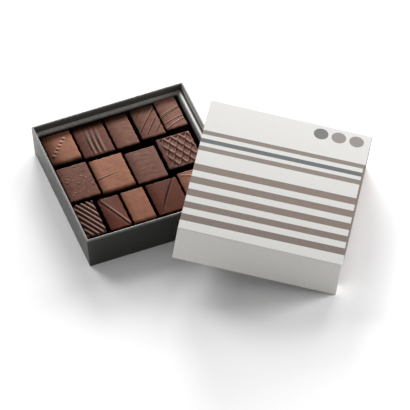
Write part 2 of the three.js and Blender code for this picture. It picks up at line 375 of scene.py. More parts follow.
def striped_top(tree, look, from_back):
    """The stripes' colour at a distance from the back edge."""
    depth = look.depth / MM
    ramp = node(tree, "ShaderNodeValToRGB", {"Fac": maths("DIVIDE", from_back, depth)})
    stops = ramp.color_ramp
    stops.interpolation = "CONSTANT"
    stops.elements.remove(stops.elements[1])
    stops.elements[0].color = (*look.white, 1.0)
    for start, end, ink in stripe_bands(look):
        stops.elements.new(start / depth).color = (*ink, 1.0)
        stops.elements.new(end / depth).color = (*look.white, 1.0)
    return ramp.outputs["Color"]


def dotted(look, x, y, printed):
    """The three dots over what is printed already."""
    for i, ink in enumerate((look.grey, look.sand, look.sand)):
        centre = (DOTS["first"][0] + DOTS["pitch"] * i, DOTS["first"][1])
        squares = [
            maths("POWER", maths("SUBTRACT", value, middle), 2.0)
            for value, middle in zip((x, y), centre)
        ]
        apart = maths("ADD", *squares)
        inside = maths("LESS_THAN", apart, DOTS["radius"] ** 2)
        printed = mixed(inside, printed, ink)
    return printed


def lid_paper():
    """Warm white paper with stripes and dots on top and a plain field on the sides."""
    look = settings("lid")
    half, depth, height, wrap = (
        size / MM for size in (look.width / 2, look.depth, look.height, look.wrap))
    last_stripe = stripe_bands(look)[-1][1]
    material, tree, shader, place = new_material("striped_paper")
    own = node(tree, "ShaderNodeSeparateXYZ", {"Vector": attribute(tree, "place", "Vector")})
    x, y, z = own.outputs
    askew = product(x, math.tan(look.skew))
    from_back = maths("ADD", maths("SUBTRACT", depth / 2, y), askew)
    printed = dotted(look, x, y, striped_top(tree, look, from_back))

    # All sides are plain but for a field on the left and right, level with the last stripe.
    # The front and the sides are painted a paler white than the top and back, as painted light
    in_field = maths("LESS_THAN", from_back, last_stripe)
    field = mixed(in_field, look.painted_lit_white, look.umber)
    off_top = maths("LESS_THAN", z, height - TOP_SEAM)
    on_side = maths("GREATER_THAN", maths("ABSOLUTE", x), half - SIDE_SEAM)
    off_ends = maths("LESS_THAN", maths("ABSOLUTE", y), depth / 2 - SIDE_SEAM)
    painted_lit_sides = mixed(maths("LESS_THAN", y, 0.0), look.white, look.painted_lit_white)
    printed = mixed(off_top, printed, painted_lit_sides)

    # The right side's field reaches a little onto the top
    reach = product(
        remap(from_back, WRAP_START, WRAP_WIDEST, 0.2, 1.0),
        remap(from_back, WRAP_WIDEST, WRAP_NARROW, wrap, 0.6 * wrap))
    wrapped = maths("GREATER_THAN", maths("ADD", x, reach), half)
    with_field = maths("MAXIMUM", product(off_top, on_side), product(wrapped, in_field))
    printed = mixed(product(with_field, off_ends), printed, field)

    fibre = clouds(0.955, 1.02, place, 1.1, 4.0, 0.65)
    # Painted shade: the whole print darkens from the back edge to the front
    faded = product(fibre, remap(from_back, 0.0, depth, 1.085, 0.915))
    with_painted_light = node(tree, "ShaderNodeVectorMath", {0: printed, 1: faded}, operation="MULTIPLY")
    connect(shader, {
        "Base Color": with_painted_light.outputs[0], "Roughness": clouds(0.5, 0.62, place, 3.0)})
    bump(shader, noise(place, 0.5, 3.0), 0.03, 0.5)
    return material


def floor_paint():
    """Matt pale paint with very broad, faint clouds."""
    look = settings("stage")
    material, _, shader, place = new_material("pale_floor")
    paint = mixed(noise(place, 300.0), look.floor, toned(look.floor, 0.985))
    connect(shader, {"Base Color": paint, "Roughness": 0.9, "Specular IOR Level": 0.1})
    return material


# Mesh helpers

def add_object(name, data):
    """An object of the scene that shows data."""
    made = bpy.data.objects.new(name, data)
    bpy.context.scene.collection.objects.link(made)
    return made


def make_object(name, points_mm, faces, material, sharp_angle=35.0):
    """A smooth-shaded mesh object from points in millimetres."""
    mesh = bpy.data.meshes.new(name)
    mesh.from_pydata((np.asarray(points_mm) * MM).tolist(), [], faces)
    mesh.update()
    mesh.shade_smooth()
    mesh.set_sharp_from_angle(angle=math.radians(sharp_angle))
    mesh.materials.append(material)
    return add_object(name, mesh)


def store(obj, name, values):
    """Keeps one number or one vector for each point of obj."""
    values = np.asarray(values, np.float32)
    kind = "FLOAT_VECTOR" if values.ndim == 2 else "FLOAT"
    kept = obj.data.attributes.new(name, kind, "POINT")
    kept.data.foreach_set("vector" if values.ndim == 2 else "value", values.ravel())


def settle(obj, material_slot, *nodes):
    """Lets a finished piece ride on the box and stand for its CAD nodes."""
    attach(obj, "root")
    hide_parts(*nodes)


def outline(bounds, radius, side_steps=20, corner_steps=5):
    """Points round a rectangle (left, right, front, back) with rounded corners."""
    left, right, front, back = bounds
    corners = [(right - radius, back - radius), (left + radius, back - radius),
               (left + radius, front + radius), (right - radius, front + radius)]
    arcs = []
    for quarter, (x, y) in enumerate(corners):
        turn = (quarter + np.linspace(0, 1, corner_steps + 1)) * math.pi / 2
        arcs.append(np.stack([x + radius * np.cos(turn), y + radius * np.sin(turn)], 1))
    points = []
    for arc, following in zip(arcs, arcs[1:] + arcs[:1]):
        share = np.linspace(0, 1, side_steps + 1)[1:-1, None]
        points += [arc, arc[-1] + share * (following[0] - arc[-1])]
    return np.concatenate(points)


def shrink(bounds, by):
    """Draws a rectangle in by one amount, or by one for each side."""
    left, right, front, back = (by,) * 4 if np.isscalar(by) else by
    return (bounds[0] + left, bounds[1] - right, bounds[2] + front, bounds[3] - back)


def loft(rings):
    """Closes a list of (outline, height) rings into one body with a fan at each end."""
    count = len(rings[0][0])
    points = [np.column_stack([flat, np.full(count, height)]) for flat, height in rings]
    sides = [(i, (i + 1) % count) for i in range(count)]
    total = count * len(rings)
    last = total - count
    faces = [
        (start + i, start + j, start + count + j, start + count + i)
        for start in range(0, last, count) for i, j in sides
    ]
    for i, j in sides:
        faces += [(total, j, i), (total + 1, last + i, last + j)]
    middles = [points[0].mean(0)[None], points[-1].mean(0)[None]]
    return np.concatenate(points + middles), faces


def quarter_round(radius, steps=4):
    """(drawn in, drop) pairs from the side to the top of a rounded edge."""
    turn = np.linspace(0, math.pi / 2, steps + 1)
    return [(radius * (1 - math.cos(a)), radius * (1 - math.sin(a))) for a in turn]


def card_box(width, depth, height, board, edge, corner):
    """An open box of board: points, faces, rim shares and inside shares, 2 on the right wall."""
    outer = (-width / 2, width / 2, -depth / 2, depth / 2)
    inner_corner = corner / 2
    foot_inset, bend = 0.5, 0.6
    rings = [(edge + foot_inset, 0.0, corner)]
    rings += [(drawn, drop, corner) for drawn, drop in reversed(quarter_round(edge))]
    rings += [(0.0, height * share, corner) for share in (0.12, 0.4, 0.7, 0.92)]
    rim_start = len(rings)
    rings += [(drawn, height - drop, corner) for drawn, drop in quarter_round(edge)]
    rings += [
        (board - drawn, height - drop, inner_corner)
        for drawn, drop in reversed(quarter_round(edge))
    ]
    rim_end = len(rings)
    rings += [(board, height * share, inner_corner) for share in (0.92, 0.6, 0.3)]
    rings += [(board, board + bend, inner_corner), (board + bend, board, inner_corner + bend)]
    made = [(outline(shrink(outer, drawn), radius), z) for drawn, z, radius in rings]
    points, faces = loft(made)
    rim, inside = np.zeros(len(points)), np.zeros(len(points))
    count = len(made[0][0])
    rim[rim_start * count:rim_end * count] = 1.0
    inside[rim_end * count:-2] = inside[-1] = 1.0
    # The right wall's inside gets 2, where its liner is painted paler as painted light
    inside[(inside > 0) & (points[:, 0] > width / 2 - board - 0.1)] = 2.0
    return points, faces, rim, inside


# Pralines. Marks are given in millimetres from the middle of a praline, x to the right and
# y to the back. A line is (points, size, strengths): size widens it, strengths fade it.

def line(*points, size=1.0, strengths=(1.0, 1.0)):
    return points, size, strengths


def spot(x, y, size=1.0, strength=1.0):
    """A very short line, which makes a round mark."""
    return line((x - 0.01, y), (x + 0.01, y), size=size, strengths=(strength, strength))


def smooth_path(points, strengths, spacing=0.4):
    """Evenly spaced points on a curve through the given ones, with their strengths."""
    points = np.array(points, float)
    steps = np.r_[0, np.cumsum(np.linalg.norm(np.diff(points, axis=0), axis=1))]
    count = max(2, int(steps[-1] / spacing) + 1)
    along = np.linspace(0, steps[-1], count)
    if len(points) > 2:
        order = min(3, len(points) - 1)
        flat = np.stack([
            np.polyval(np.polyfit(steps, points[:, k], order), along) for k in (0, 1)], 1)
    else:
        flat = np.stack([np.interp(along, steps, points[:, k]) for k in (0, 1)], 1)
    faded = np.interp(along, np.linspace(0, steps[-1], len(strengths)), strengths)
    return flat, faded


def marks_object(name, lines):
    """The lines as a mesh of edges at height 0, with their sizes and strengths."""
    points, edges, sizes, strengths = [], [], [], []
    for path, size, fade in lines:
        flat, faded = smooth_path(path, fade)
        first = len(points)
        points += [(x * MM, y * MM, 0.0) for x, y in flat]
        edges += [(first + i, first + i + 1) for i in range(len(flat) - 1)]
        sizes += [size] * len(flat)
        strengths += list(faded)
    mesh = bpy.data.meshes.new(name)
    mesh.from_pydata(points, edges, [])
    made = add_object(name, mesh)
    store(made, "size", sizes)
    store(made, "strength", strengths)
    return made


def geometry_tree(name, **inputs):
    """An empty modifier tree with the named inputs, and its group input's sockets."""
    tree = bpy.data.node_groups.new(name, "GeometryNodeTree")
    tree.is_modifier = True
    for label, kind in {"Geometry": "Geometry", **inputs}.items():
        tree.interface.new_socket(label, in_out="INPUT", socket_type="NodeSocket" + kind)
    tree.interface.new_socket("Geometry", in_out="OUTPUT", socket_type="NodeSocketGeometry")
    return tree, node(tree, "NodeGroupInput").outputs


def stored(tree, name):
    """A number that the mesh keeps for each point."""
    made = node(tree, "GeometryNodeInputNamedAttribute", {"Name": name}, data_type="FLOAT")
    return made.outputs[0]


def relief_tree():
    """Geometry nodes that raise or sink a praline's top along its marks.

    Each point looks for the nearest mark in plan. Its lift falls from the mark's full height
    to nothing at the mark's reach, along a soft wave or, as Roundness grows, a dome.
    """
    tree, given = geometry_tree(
        "praline_relief", Marks="Object", Reach="Float", Height="Float", Roundness="Float",
        Tint="Float", Material="Material")
    position = node(tree, "GeometryNodeInputPosition").outputs[0]
    apart = node(tree, "ShaderNodeSeparateXYZ", {0: position}).outputs
    in_plan = node(tree, "ShaderNodeCombineXYZ", {0: apart[0], 1: apart[1]}).outputs[0]
    marks = node(tree, "GeometryNodeObjectInfo", {"Object": given["Marks"]}).outputs["Geometry"]
    near = node(
        tree, "GeometryNodeProximity", {0: marks, "Source Position": in_plan},
        target_element="EDGES")
    nearest = node(tree, "GeometryNodeSampleNearest", {0: marks, 1: in_plan}, domain="POINT")

    def of_mark(name):
        """A number that the nearest mark keeps."""
        return node(tree, "GeometryNodeSampleIndex", {
            "Geometry": marks, "Value": stored(tree, name), "Index": nearest.outputs[0],
        }, data_type="FLOAT", domain="POINT").outputs[0]

    reach = product(given["Reach"], of_mark("size"))
    away = maths("DIVIDE", near.outputs["Distance"], reach, clamp=True)
    wave = node(
        tree, "ShaderNodeMapRange",
        {"Value": away, "From Min": 1.0, "From Max": 0.0}, interpolation_type="SMOOTHSTEP",
    ).outputs[0]
    dome = maths("SUBTRACT", 1.0, maths("POWER", away, 2.0))
    dome = maths("SQRT", dome)
    shape = node(tree, "ShaderNodeMix", {
        "Factor": given["Roundness"], "A": wave, "B": dome}, data_type="FLOAT").outputs[0]
    amount = product(shape, of_mark("strength"), stored(tree, "top"))
    # Each mark adds its painted light, a painted highlight or painted shade, to the point
    tint = maths("ADD", stored(tree, "tint"), product(amount, given["Tint"]))
    with_painted_light = node(tree, "GeometryNodeStoreNamedAttribute", {
        "Geometry": given["Geometry"], "Name": "tint", "Value": tint,
    }, data_type="FLOAT", domain="POINT").outputs[0]
    offset = node(tree, "ShaderNodeCombineXYZ", {2: product(amount, given["Height"])}).outputs[0]
    finish_tree(tree, with_painted_light, offset, given["Material"])
    return tree


def ripple_tree():
    """Geometry nodes that move every point along its normal by a soft seeded noise."""
    tree, given = geometry_tree(
        "praline_ripple", Depth="Float", Wave="Float", Seed="Float", Material="Material")
    position = node(tree, "GeometryNodeInputPosition").outputs[0]
    waves = node(tree, "ShaderNodeTexNoise", {
        "Vector": position, "W": given["Seed"], "Detail": 3.0,
        "Scale": maths("DIVIDE", 1.0, given["Wave"]),
    }, noise_dimensions="4D").outputs[0]
    amount = product(maths("SUBTRACT", waves, 0.5), given["Depth"])
    normal = node(tree, "GeometryNodeInputNormal").outputs[0]
    offset = node(
        tree, "ShaderNodeVectorMath", {0: normal, "Scale": amount}, operation="SCALE").outputs[0]
    finish_tree(tree, given["Geometry"], offset, given["Material"])
    return tree


def finish_tree(tree, geometry, offset, material):
    """Moves each point by its offset, realizes what was made and gives it its material."""
    moved = node(tree, "GeometryNodeSetPosition", {0: geometry, "Offset": offset}).outputs[0]
    real = node(tree, "GeometryNodeRealizeInstances", {0: moved}).outputs[0]
    painted = node(tree, "GeometryNodeSetMaterial", {"Geometry": real, "Material": material})
    node(tree, "NodeGroupOutput", {"Geometry": painted.outputs[0]})


def add_nodes(obj, tree, **values):
    """Adds a tree to obj as a modifier with the given inputs."""
    modifier = obj.modifiers.new(tree.name, "NODES")
    modifier.node_group = tree
    for item in tree.interface.items_tree:
        if item.item_type == "SOCKET" and item.name in values:
            modifier[item.identifier] = values[item.name]


def bake_nodes(obj):
    """Turns the modifiers' result into obj's own mesh and removes the modifiers."""
    graph = bpy.context.evaluated_depsgraph_get()
    result = bpy.data.meshes.new_from_object(obj.evaluated_get(graph), depsgraph=graph)
    obj.modifiers.clear()
    obj.data = result


def rounding_cuts(radius, steps=4):
    """Distances past a rounding's start at which grid lines lie."""
    return radius * np.tan(np.linspace(0, math.pi / 4, steps + 1)[1:])


def cuts(half, radius, step):
    """Places of the grid lines along one side: close over the rounding, even between."""
    beyond = rounding_cuts(radius)
    inner = half - radius
    middle = np.linspace(-inner, inner, max(2, math.ceil(2 * inner / step)) + 1)
    return np.r_[-(inner + beyond[::-1]), middle, inner + beyond]


# Distance between the grid lines up a block's sides, in millimetres
SIDE_GRID = 0.9


def block(width, depth, height, radius, step):
    """A block with rounded edges and a flat foot: points, faces and how level each point is."""
    xs, ys = cuts(width / 2, radius, step), cuts(depth / 2, radius, step)
    beyond = rounding_cuts(radius)
    inner_top = height - radius
    upright = np.linspace(0, inner_top, max(2, math.ceil(inner_top / SIDE_GRID)) + 1)
    zs = np.r_[-beyond[::-1], upright, inner_top + beyond]
    ids = np.full((len(xs), len(ys), len(zs)), -1)
    shell = np.zeros(ids.shape, bool)
    shell[[0, -1]] = shell[:, [0, -1]] = shell[:, :, -1] = True
    ids[shell] = np.arange(shell.sum())
    i, j, k = np.nonzero(shell)
    raw = np.stack([xs[i], ys[j], zs[k]], 1)
    inset = np.array((width, depth)) / 2 - radius
    inner = np.clip(raw, (*-inset, 0), (*inset, inner_top))
    out = raw - inner
    out /= np.linalg.norm(out, axis=1)[:, None]
    points = inner + radius * out
    points[:, 2] = np.maximum(points[:, 2], 0)

    def quads(sheet, flip):
        a, b, c, d = sheet[:-1, :-1], sheet[1:, :-1], sheet[1:, 1:], sheet[:-1, 1:]
        order = (a, d, c, b) if flip else (a, b, c, d)
        return np.stack([s.ravel() for s in order], 1)

    faces = np.concatenate([
        quads(ids[:, :, -1], False), quads(ids[0], True), quads(ids[-1], False),
        quads(ids[:, 0], False), quads(ids[:, -1], True),
    ]).tolist()
    foot = [*ids[:, 0, 0], *ids[-1, 1:, 0], *ids[-2::-1, -1, 0], *ids[0, -2:0:-1, 0]]
    faces.append([int(v) for v in reversed(foot)])
    return points, faces, out[:, 2]


def smoothstep(low, high, value):
    """0 up to low and 1 from high on, with a soft rise between. low may be the larger."""
    share = np.clip((value - low) / (high - low), 0, 1)
    return share * share * (3 - 2 * share)


# Forms give how far a top stands above its plain height at each point, all in millimetres

CORRUGATION = 1.5


def flat_form(x, y, size):
    return np.zeros_like(x)


def slumped_form(x, y, size):
    """The front edge falls away in a broad curve."""
    reach, drop = 3.8, 2.0
    front = -size[1] / 2 + 3.9 - 0.6 * np.cos(math.pi * x / size[0])
    return -drop * np.clip((front - y) / reach, 0, 1) ** 2


def rolled_form(x, y, size):
    """The front edge rolls over in a short curve and the right edge stands a little higher."""
    reach, drop, rise = 3.2, 2.2, 0.25
    front = -size[1] / 2 + reach
    right = rise * smoothstep(4, 2, size[0] / 2 - x)
    return -drop * np.clip((front - y) / reach, 0, 1) ** 2 + right


def lattice_form(x, y, size):
    """A sunk field inside a plain border that is widest on the left."""
    sunk, left_border, border = 1.1, (2.6, 3.8), (1.0, 2.0)
    left = smoothstep(*left_border, size[0] / 2 + x)
    right = smoothstep(*border, size[0] / 2 - x)
    ends = smoothstep(*border, size[1] / 2 - np.abs(y))
    return -sunk * left * right * ends


def corrugated_form(x, y, size):
    """Sunk all over, as the corrugation's crests stand on it."""
    return np.full_like(x, -CORRUGATION)


def folded_form(x, y, size):
    """A lip that runs from the back left to the front right, raised on its right."""
    heading = math.radians(-66.7)
    beside = (x - 0.4) * -math.sin(heading) + (y - 0.2) * math.cos(heading)
    raised = smoothstep(-0.5, 0.5, beside) * (0.2 + 0.6 * np.exp(-np.maximum(beside, 0) / 4.5))
    hollow = 0.2 * np.exp(-((beside + 1.3) / 1.2) ** 2)
    return raised - hollow - 0.2


def waved_form(x, y, size):
    """Faint waves across the top."""
    return 0.035 * np.sin(y * 1.1 + 0.8 * np.sin(x * 0.45)) * np.cos(x * 0.18)


def bead_lines(between=0.0):
    """Six beads in a slanting row, or the hollows between them. The first is the largest."""
    first, step = np.array((-8.2, -7.4)), np.array((2.7, 3.35))
    return [
        spot(*(first + step * (i - between)), size=1.2 if i == 0 else 1.0) for i in range(6)
    ]


def rib_lines(strengths, beside=0.0):
    """Three ribs from the front to the back, or the hollows beside them."""
    return [
        line((x + 0.6, -17.6), (x + 0.4, -8), (x + 0.6, 2), (x + 1.5, 16), strengths=strengths)
        for x in (-3.7 - beside, 0.4 - beside, 4.4 - beside)
    ]


def shifted(lines, dx, dy):
    """The same lines a little further on and all of one size."""
    return [line(*((x + dx, y + dy) for x, y in path), strengths=fade) for path, _, fade in lines]


def streak_lines(seed, width):
    """Faint short streaks across a top."""
    count, depth = 9, 34
    draw = random.Random(seed)
    made = []
    for i in range(count):
        y = depth * ((i + 0.5) / count - 0.5) + draw.uniform(-0.8, 0.8)
        x = draw.uniform(-0.3, 0.1) * width
        reach = draw.uniform(0.2, 0.45) * width
        made.append(line(
            (x, y), (x + reach / 2, y + draw.uniform(-0.3, 0.5)), (x + reach, y + 0.3),
            strengths=(0.0, draw.uniform(0.5, 1.0), 0.0)))
    return made


SCORES = [
    line((-9.3, -10.2), (0.2, 1.4), (9.4, 12.6)),
    line((-4.3, -14.4), (1.5, -6.6), (7.4, 1.3)),
    line((3.2, -14.0), (9.3, -6.3)),
    line((-8.4, 5.6), (-0.9, 16.6), strengths=(0.5, 0.4)),
    line((-3.4, 4.4), (4.7, 16.6), strengths=(0.25, 0.35)),
]
SCORE_RIDGES = [line((-1.5, 1.3), (9.6, 15.2), strengths=(0.3, 1.0))]
THREADS = [
    line((-8.9, -1.0), (-0.7, 2.4), (8.8, 5.7)),
    line((-8.7, -2.9), (-0.7, 0.8), (8.6, 4.3), size=0.8),
    line((-9.5, -10.8), (-3.7, -8.8), (8.6, -5.9), size=0.9),
    line((-7.9, -16.3), (-0.7, -12.8), (8.8, -9.7)),
    line((-8.6, 13.6), (-5, 15.2), size=0.6),
]
CREASE = [line((-13.4, -3.4), (-8.1, -2.8), (0, -1.8), (10, -1.4), strengths=(1.0, 1.0, 0.6, 0.0))]
CREASE_ECHO = [line((-11.5, 4.9), (2, 5.2), strengths=(0.4, 1.0, 0.4))]
FOLD = [line((-6.2, 16.2), (0.75, 0.2), (7.8, -16.0), strengths=(0.5, 1.0, 0.9))]
GROOVE = [line(
    (9.4, 17.2), (6.75, 13.5), (2.25, 5.5), (-2.25, -2.0), (-4.75, -6.5), (-9.4, -16.8),
    strengths=(0.45, 0.75, 0.95, 1.0, 0.9, 0.5, 0.4))]
SWIRLS = [
    line((-9.5, 15.5), (-1, 11), (5, 3), (9, -15)),
    line((9.5, 14), (1, 9), (-6, 0), (-8.5, -14)),
]


def grain_lines(seed, columns, rows, width, depth):
    """Seeded round marks spread over a top, each in its own cell of a loose grid."""
    draw = random.Random(seed)
    made = []
    for i in range(columns * rows):
        x = width * ((i % columns + draw.uniform(0.1, 0.9)) / columns - 0.5)
        y = depth * ((i // columns + draw.uniform(0.1, 0.9)) / rows - 0.5)
        made.append(spot(x, y, draw.uniform(0.5, 1.0), draw.uniform(0.2, 0.8)))
    return made


BRIGHT_GRAINS = [spot(x, y) for x, y in (
    (-8.4, 6.2), (-6.9, 4.7), (-8.9, 2.0), (0.2, -1.9), (4.2, 5.2), (4.7, -1.9), (1.7, 18.2),
    (-5.9, -11.9), (-8.4, -13.9), (10.3, -5.9), (7.6, 2.4))]
PITS = [spot(x, y) for x, y in (
    (-2.9, -8.4), (10.1, -8.6), (-9.2, 0.4), (-0.4, -3.7), (8.9, 9.5), (6.4, 9.0), (2.1, 16.4))]


def lattice_lines(side):
    """Parallel bars. Side 1 leans to the right towards the back and side -1 to the left."""
    crossing, half, far = (-4.55, 11.2), (3.3, 6.75), 6
    dx, dy = far * half[0] * side, far * half[1]
    middles = [crossing[0] + 2 * half[0] * i for i in range(-7, 9)]
    return [line((x - dx, crossing[1] - dy), (x + dx, crossing[1] + dy)) for x in middles]


def corrugation_lines(beside=0.0):
    """The crests of the corrugation, or lines that run beside them."""
    heading, far, pitch = math.radians(-61.7), 38.6, 4.5
    dx, dy = far * math.cos(heading), far * math.sin(heading)
    middles = [pitch * i + beside for i in range(-7, 8)]
    return [line((x - dx, -dy), (x + dx, dy)) for x in middles]


@dataclass
class Praline:
    """One praline: its node's name, its chocolate, and the colour, form and marks of its top.

    Each layer of marks is (lines, reach, height, roundness, painted light), where painted light
    above zero is a painted highlight and below zero painted shade. A framed praline has marks only
    where its form is sunk. left_shade is (how much, how far) painted shade darkens the left edge,
    and back_shade how much painted shadow darkens the back end.
    """
    name: str
    slot: str
    tone: tuple
    marks: tuple = ()
    form: Callable = flat_form
    edge: float = None
    grid: float = None
    framed: bool = False
    left_shade: tuple = (0.35, 10.0)
    back_shade: float = 0.0


# The last number of each layer is its painted light: above zero a painted highlight, below zero
# painted shade in a hollow or a painted shadow beside a raised mark
PRALINES = (
    Praline("beaded", "milk", (0.217, 0.091, 0.056), (
        (bead_lines(), 1.85, 0.8, 0.6, 0.6),
        (bead_lines(between=0.5), 1.2, -0.4, 0.2, -0.9),
    ), form=slumped_form, grid=0.24, left_shade=(0.72, 15.0), back_shade=0.75),
    Praline("ribbed", "dark", (0.103, 0.04, 0.027), (
        (rib_lines((0.9, 1.0, 0.75, 0.4, 0.15, 0.0)), 1.7, 0.9, 0.3, 0.28),
        (rib_lines((0.5, 0.9, 1.0, 0.7, 0.4, 0.2), beside=1.8), 1.3, -0.35, 0.0, -0.8),
    ), grid=0.24, back_shade=0.95),
    Praline("plain_brown", "brown", (0.146, 0.064, 0.045), (
        (streak_lines(3, 18), 0.8, 0.14, 0.0, 0.1),
    ), back_shade=0.92),
    Praline("scored", "brown", (0.137, 0.06, 0.043), (
        (SCORES, 0.5, -0.45, 0.0, -0.9),
        (shifted(SCORES, -0.7, 0.5), 0.6, 0.12, 0.0, 0.12),
        (SCORE_RIDGES, 0.9, 0.25, 0.0, 0.2),
    ), grid=0.2, back_shade=0.8),
    Praline("threaded", "brown", (0.198, 0.092, 0.067), (
        (THREADS, 0.65, 0.4, 0.3, 0.45),
        (shifted(THREADS, 0.0, -0.95), 0.5, -0.2, 0.0, -0.9),
    ), grid=0.19, back_shade=0.6),
    Praline("grained", "brown", (0.119, 0.048, 0.033), (
        (grain_lines(11, 7, 12, 23, 36), 0.8, 0.25, 0.2, 0.25),
        (BRIGHT_GRAINS, 0.8, 0.35, 0.5, 0.5),
        (PITS, 0.8, -0.4, 0.3, -0.95),
    ), grid=0.21),
    Praline("creased", "milk", (0.262, 0.112, 0.067), (
        (CREASE, 0.55, -0.4, 0.0, -0.9),
        (shifted(CREASE, 0.0, 0.9), 0.6, 0.12, 0.0, 0.18),
        (CREASE_ECHO, 0.45, -0.12, 0.0, -0.5),
    ), form=slumped_form, grid=0.24, left_shade=(0.45, 7.0)),
    Praline("smooth", "brown", (0.15, 0.065, 0.046), (
        (streak_lines(8, 24), 1.2, 0.1, 0.0, 0.08),
    ), form=waved_form),
    Praline("latticed", "brown", (0.175, 0.08, 0.06), (
        (lattice_lines(1), 0.85, 1.2, 0.4, 0.2),
        (lattice_lines(-1), 0.95, 1.3, 0.4, 0.12),
        (lattice_lines(-1), 0.9, 0.1, 0.0, 0.9),
        (shifted(lattice_lines(-1), -1.6, 0.0), 0.8, 0.0, 0.0, -0.75),
    ), form=lattice_form, grid=0.22, framed=True),
    Praline("corrugated", "dark", (0.135, 0.06, 0.046), (
        (corrugation_lines(), 1.5, CORRUGATION, 0.6, 0.0),
        (corrugation_lines(-0.2), 0.6, 0.1, 0.0, 1.0),
        (corrugation_lines(-1.9), 1.1, 0.0, 0.0, -0.8),
    ), form=corrugated_form, edge=1.0, grid=0.2),
    Praline("folded", "dark", (0.093, 0.022, 0.01), (
        (shifted(FOLD, 0.2, 0.1), 0.8, 0.12, 0.0, 0.75),
        (shifted(FOLD, -1.1, -0.5), 0.9, -0.1, 0.0, -0.5),
    ), form=folded_form, grid=0.24),
    Praline("plain_milk", "milk", (0.235, 0.094, 0.055), form=rolled_form,
            left_shade=(0.3, 6.0)),
    Praline("grooved", "dark", (0.095, 0.024, 0.011), (
        (GROOVE, 1.1, -0.5, 0.0, -1.2),
        (shifted(GROOVE, 1.5, -0.7), 1.2, 0.12, 0.0, 0.05),
    ), grid=0.24),
    Praline("swirled", "milk", (0.275, 0.118, 0.077), (
        (SWIRLS, 1.3, 0.4, 0.3, 0.12),
    )),
)


def wobbled(points, size, amount, seed):
    """Shifts a block's outline in and out by a few slow waves, least at its foot."""
    draw = random.Random(seed)
    waves = [(draw.uniform(0, 2 * math.pi), draw.uniform(0.06, 0.16)) for _ in range(8)]
    x, y = points[:, 0].copy(), points[:, 1].copy()
    rise = 0.4 + 0.6 * points[:, 2] / size[2]
    for axis, other, pair in ((0, y, waves[:4]), (1, x, waves[4:])):
        side = np.clip(points[:, axis] / (size[axis] / 2), -1, 1)
        right = sum(np.sin(other * 2 * math.pi * f + p) for p, f in pair[:2])
        left = sum(np.sin(other * 2 * math.pi * f + p) for p, f in pair[2:])
        push = np.where(side > 0, right, left) * np.abs(side) ** 3
        points[:, axis] += 0.5 * amount * push * rise
    return points


# Distances from a top's edge, in millimetres, between which painted shadow dulls its back
# and painted sheen brightens its right
BACK_PAINTED_SHADOW = (11, 2.5)
RIGHT_PAINTED_SHEEN = (6, 1)


def shading(praline, x, y, level, fall, size):
    """Painted shade on a top's sides, falls, left edge and back, and painted sheen on its right."""
    much, far = praline.left_shade
    shade = 0.05 + 0.95 * smoothstep(0.05, 0.6, level)
    shade *= 1 - 0.85 * smoothstep(0.2, 1.4, fall)
    shade *= 1 - much * smoothstep(far, 0, x + size[0] / 2)
    shade *= 1 + 0.14 * smoothstep(*RIGHT_PAINTED_SHEEN, size[0] / 2 - x)
    return shade * (1 - praline.back_shade * smoothstep(*BACK_PAINTED_SHADOW, size[1] / 2 - y))


def praline_body(praline, size, material, seed):
    """A praline without marks, which keeps how far marks show on each point and its painted shading.
    """
    shared = settings("chocolate")
    points, faces, level = block(
        *size, praline.edge or shared.edge / MM, praline.grid or shared.grid / MM)
    share = points[:, 2] / size[2]
    x, y = points[:, 0].copy(), points[:, 1].copy()
    dome = (1 - (2 * x / size[0]) ** 2) * (1 - (2 * y / size[1]) ** 2)
    form = praline.form(x, y, size)
    fall = np.median(form[level > 0.99]) - form
    lift = form + shared.crown / MM * (dome - 1)
    points[:, 2] += lift * smoothstep(0.55, 1.0, share)
    points[:, :2] *= 1 - np.outer(share, 2 * shared.draft / MM / size[:2])
    points = wobbled(points, size, shared.wobble / MM, seed)

    made = make_object(praline.name + "_chocolate", points, faces, material, sharp_angle=60.0)
    on_top = smoothstep(0.2, 0.85, level)
    store(made, "top", on_top * form / form.min() if praline.framed else on_top)
    store(made, "tint", np.zeros(len(points)))
    store(made, "shade", shading(praline, x, y, level, fall, size))
    return made


def build_praline(index, praline, relief, ripple):
    """Builds a praline's body, raises and sinks its marks and puts it in its place."""
    shared = settings("chocolate")
    low, high = node_box("praline_" + praline.name)
    material = chocolate(praline.name + "_coating", praline.tone)
    made = praline_body(praline, high - low, material, seed=index)
    helpers = []
    for number, (lines, reach, height, roundness, tint) in enumerate(praline.marks):
        marks = marks_object(f"{praline.name}_marks_{number}", lines)
        helpers.append(marks)
        add_nodes(
            made, relief, Marks=marks, Reach=reach * MM, Height=height * MM,
            Roundness=roundness, Tint=tint, Material=material)
    add_nodes(
        made, ripple, Depth=shared.ripple, Wave=shared.wave, Seed=float(index), Material=material)
    bake_nodes(made)
    for marks in helpers:
        bpy.data.objects.remove(marks)
    middle = (low + high) / 2 * MM
    made.data.transform(Matrix.Translation((*middle[:2], low[2] * MM)))
    settle(made, "chocolate_" + praline.slot, "praline_" + praline.name)


# Operators

# The inner tray's lip, in millimetres: its widths, its rolled section as (share of the width,
# drop below the top), the distances from the right edge and from the back between which its
# crest carries a painted highlight, and how far down the crest's painted highlight ends and the
# wall's painted light starts
LIP = {"left": 1.3, "right": 4.2, "front": 4.2, "back": 3.75}
LIP_SECTION = (
    (0.0, 1.3), (0.02, 0.8), (0.08, 0.4), (0.17, 0.12), (0.28, 0.0), (0.4, 0.05),
    (0.52, 0.2), (0.65, 0.45), (0.78, 0.75), (0.88, 1.1), (0.94, 1.5), (1.0, 2.2),
)
CREST_OUTER = (0.8, 1.6)
CREST_INNER = (2.7, 2.1)
CREST_BACK = (3, 8)
CREST_DEPTH = 1.0
WALL_DEPTH = 1.4


